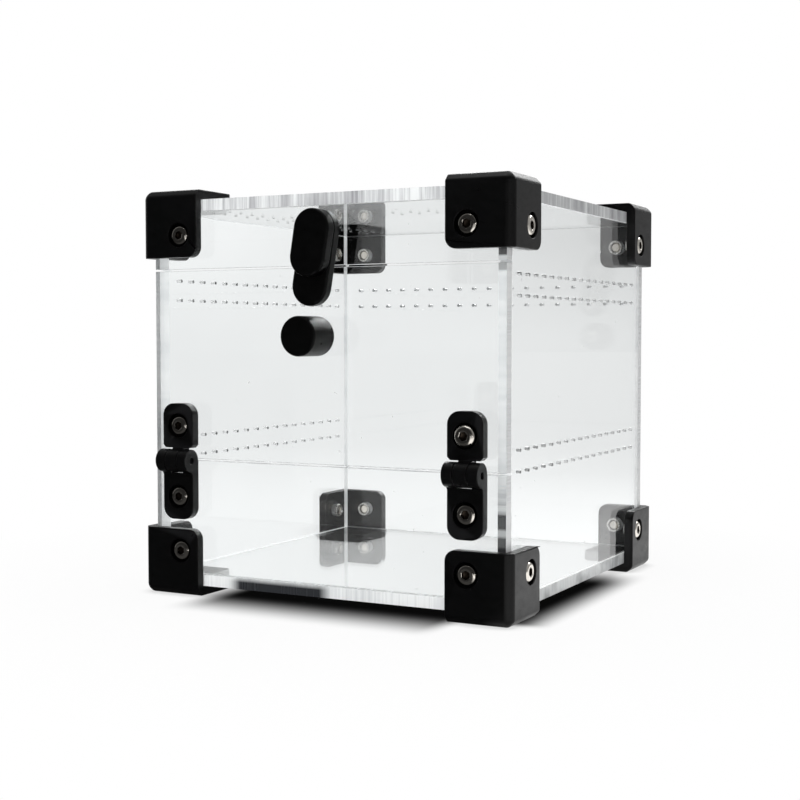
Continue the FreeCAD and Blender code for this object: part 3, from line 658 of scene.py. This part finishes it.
for name, x_side, y_side, z in CORNERS:
    reach, seat = HALF - INSET, HALF + BORE_FLOOR
    softened(f"bracket_{name}", black, 0.55, [
        ((x_side * reach, MID_Y + y_side * seat, z), (0, y_side, 0)),
        ((x_side * seat, MID_Y + y_side * reach, z), (x_side, 0, 0))])
for side, x in HINGES.items():
    for half, z in LEAF_Z.items():
        softened(f"hinge_{half}_leaf_{side}", black, 0.2, [((x, FRONT_Y - BORE_FLOOR, z), FORWARD)], 0.6)
softened("latch_arm", handled, 0.18)
softened("latch_grip", handled, 0.22)
softened("door_knob", handled, 0.2)


# Floor, backdrop and light
def mirror_only(tree, paths):
    """1 on rays that a surface mirrors, and not on those that bend through clear sheet."""
    return minus(tree, paths.outputs["Is Glossy Ray"], paths.outputs["Is Transmission Ray"])


def mix_shader(tree, fac, first, second):
    node = add(tree, "ShaderNodeMixShader")
    link(tree, fac, node.inputs["Fac"])
    link(tree, first, node.inputs[1])
    link(tree, second, node.inputs[2])
    return node.outputs[0]


def painted_shadow(tree, across, deep):
    """The painted soft shadow that comes forward and to the right from under the bottom sheet, drawn by its place
    on the floor.
    """
    def ramp(value, low, high, start, end):
        result = remap(tree, value, low, high, start, end)
        result.node.interpolation_type = "SMOOTHSTEP"
        return result

    forward = minus(tree, MID_Y * MM, deep)
    in_front = product(tree, ramp(across, -0.0385, -0.0275, 0.0, 1.0), ramp(across, 0.033, 0.040, 1.0, 0.0),
                       ramp(forward, 0.044, 0.071, 1.0, 0.0), ramp(forward, -0.05, 0.0, 0.0, 1.0))
    at_right = product(tree, ramp(across, 0.0, 0.03, 0.0, 1.0), ramp(across, 0.0485, 0.0615, 1.0, 0.0),
                       ramp(forward, 0.044, 0.050, 1.0, 0.0), ramp(forward, -0.036, -0.012, 0.0, 1.0))
    return largest(tree, in_front, at_right)


def floor_material():
    """Pale and lit near the object with a painted shadow and painted contact shade, white far off, and its own
    tone in what the object mirrors.
    """
    mat = bpy.data.materials.new("stage_floor")
    mat.use_nodes = True
    tree = mat.node_tree
    tree.nodes.clear()
    out = add(tree, "ShaderNodeOutputMaterial")
    across, deep, _ = place_axes(tree)
    paths = add(tree, "ShaderNodeLightPath")
    squares = math_node(tree, "ADD", product(tree, across, across), product(tree, deep, deep))
    length = math_node(tree, "SQRT", squares, 0.0)
    # Painted contact shade: the floor's colour darkens where the AO node finds the object close by.
    near = add(tree, "ShaderNodeAmbientOcclusion", samples=8)
    near.inputs["Distance"].default_value = 0.004
    contact = remap(tree, near.outputs["AO"], 0.35, 0.9, 0.75, 1.0)
    # The painted shadow darkens the floor's colour.
    unshaded = minus(tree, 1.0, painted_shadow(tree, across, deep))
    open_floor = product(tree, math_node(tree, "POWER", unshaded, 1.6), contact)
    tone = mix_colour(tree, open_floor, (0.003, 0.003, 0.003), (1.0, 1.0, 1.0))
    lit = add(tree, "ShaderNodeBsdfDiffuse")
    link(tree, tone, lit.inputs["Color"])
    glow = add(tree, "ShaderNodeEmission")
    link(tree, tone, glow.inputs["Color"])
    far = remap(tree, length, 0.06, 0.16, 0.92, 1.0)
    direct = mix_shader(tree, product(tree, far, paths.outputs["Is Camera Ray"]), lit.outputs[0], glow.outputs[0])
    white = add(tree, "ShaderNodeEmission")
    link(tree, remap(tree, length, 0.19, 0.50, 1.0, 0.89), white.inputs["Strength"])
    # Mirrored in the object the table is white beside and behind it, and darkened in front by painted shade.
    beside = largest(tree, remap(tree, across, 0.045, 0.062, 0.05, 1.3), remap(tree, deep, 0.0, 0.06, 0.05, 1.0))
    mirror = add(tree, "ShaderNodeEmission")
    link(tree, product(tree, beside, remap(tree, length, 0.12, 0.35, 1.0, 0.4)), mirror.inputs["Strength"])
    bent = mix_shader(tree, mirror_only(tree, paths), white.outputs[0], mirror.outputs[0])
    by_object = largest(tree, paths.outputs["Is Transmission Ray"], paths.outputs["Is Glossy Ray"])
    link(tree, mix_shader(tree, by_object, direct, bent), out.inputs["Surface"])
    return mat


def floor():
    """A pale round table that fades to the white of the room, with a painted shadow of the object and a faint one
    cast by the lamps.
    """
    mesh = bpy.data.meshes.new("stage_floor")
    bm = bmesh.new()
    bmesh.ops.create_circle(bm, cap_ends=True, segments=96, radius=6.0)
    bm.to_mesh(mesh)
    bm.free()
    obj = bpy.data.objects.new("stage_floor", mesh)
    bpy.context.scene.collection.objects.link(obj)
    obj.location.z = -0.00005
    dress(obj, floor_material())


def world():
    """White room, dim on the side that the object is seen from; behind clear sheet it is off-white."""
    studio = bpy.data.worlds.new("studio")
    bpy.context.scene.world = studio
    studio.use_nodes = True
    tree = studio.node_tree
    tree.nodes.clear()
    out = add(tree, "ShaderNodeOutputWorld")
    shade = add(tree, "ShaderNodeBackground")
    paths = add(tree, "ShaderNodeLightPath")
    across, deep, up = place_axes(tree, "Generated")
    through = paths.outputs["Is Transmission Ray"]
    room = product(tree, remap(tree, deep, -0.60, 0.15, 0.025, 0.36), minus(tree, 1.0, through))
    # A window high at the back gives the upper curves their streak of light.
    window = product(tree, remap(tree, up, 0.40, 0.48, 0.0, 1.0), remap(tree, up, 0.56, 0.66, 1.0, 0.0),
                     remap(tree, deep, 0.55, 0.8, 0.0, 9.0), paths.outputs["Is Glossy Ray"])
    # A low bright doorway at the front right shows only in what the metal and the rounded edges mirror.
    doorway = product(tree, remap(tree, across, 0.70, 0.80, 0.0, 1.0), remap(tree, deep, -0.42, -0.34, 1.0, 0.0),
                      remap(tree, up, 0.0, 0.09, 3.0, 0.0), mirror_only(tree, paths))
    # What clear sheet shows is dimmer to the right, and even near the horizon.
    rise = remap(tree, up, 0.0, 0.07, 0.0, 1.0)
    behind = math_node(tree, "ADD", product(tree, remap(tree, across, -0.56, -0.34, 1.0, 0.76), rise),
                       product(tree, minus(tree, 1.0, rise), 0.90))
    seen = largest(tree, product(tree, behind, through), paths.outputs["Is Camera Ray"])
    level = chain(tree, "ADD", largest(tree, room, seen), window, largest(tree, doorway, 0.0))
    shade.inputs["Color"].default_value = (1.0, 1.0, 1.0, 1.0)
    link(tree, level, shade.inputs["Strength"])
    link(tree, shade.outputs[0], out.inputs["Surface"])


MIDDLE = Vector((0, 0, 0.05))


def lamp(name, place, width, power):
    """A square soft light aimed at the middle of the object, and not seen through the sheets."""
    data = bpy.data.lights.new(name, "AREA")
    data.shape = "RECTANGLE"
    data.size, data.size_y, data.energy = width, width, power
    obj = bpy.data.objects.new(name, data)
    bpy.context.scene.collection.objects.link(obj)
    obj.location = place
    obj.rotation_euler = (MIDDLE - Vector(place)).to_track_quat("-Z", "Y").to_euler()
    obj.visible_transmission = False
    return obj


floor()
world()
lamp("lamp_top", (0.05, 0.05, 0.75), 0.6, 1.5)
fill = lamp("lamp_front", (0.10, -0.95, 0.45), 0.9, 9.0)
fill.visible_glossy = False

# Camera at the photograph's viewing angle
SENSOR, FOCAL_PIXELS, FRAME_PIXELS = 36.0, 1385.4, 800.0
EYE = (178.636, MID_Y - 349.081, 68.303)
YAW, PITCH_DOWN = math.radians(27.603), math.radians(2.603)
camera_data = bpy.data.cameras.new("camera")
camera = bpy.data.objects.new("camera", camera_data)
bpy.context.scene.collection.objects.link(camera)
camera_data.sensor_width = SENSOR
camera_data.lens = FOCAL_PIXELS * SENSOR / FRAME_PIXELS
camera_data.clip_start = 0.01
camera_data.clip_end = 50.0
camera.location = Vector(EYE) * MM
ahead = Vector((-math.sin(YAW) * math.cos(PITCH_DOWN), math.cos(YAW) * math.cos(PITCH_DOWN),
                -math.sin(PITCH_DOWN)))
camera.rotation_euler = ahead.to_track_quat("-Z", "Y").to_euler()
bpy.context.scene.camera = camera
bpy.context.scene.view_settings.view_transform = "Standard"
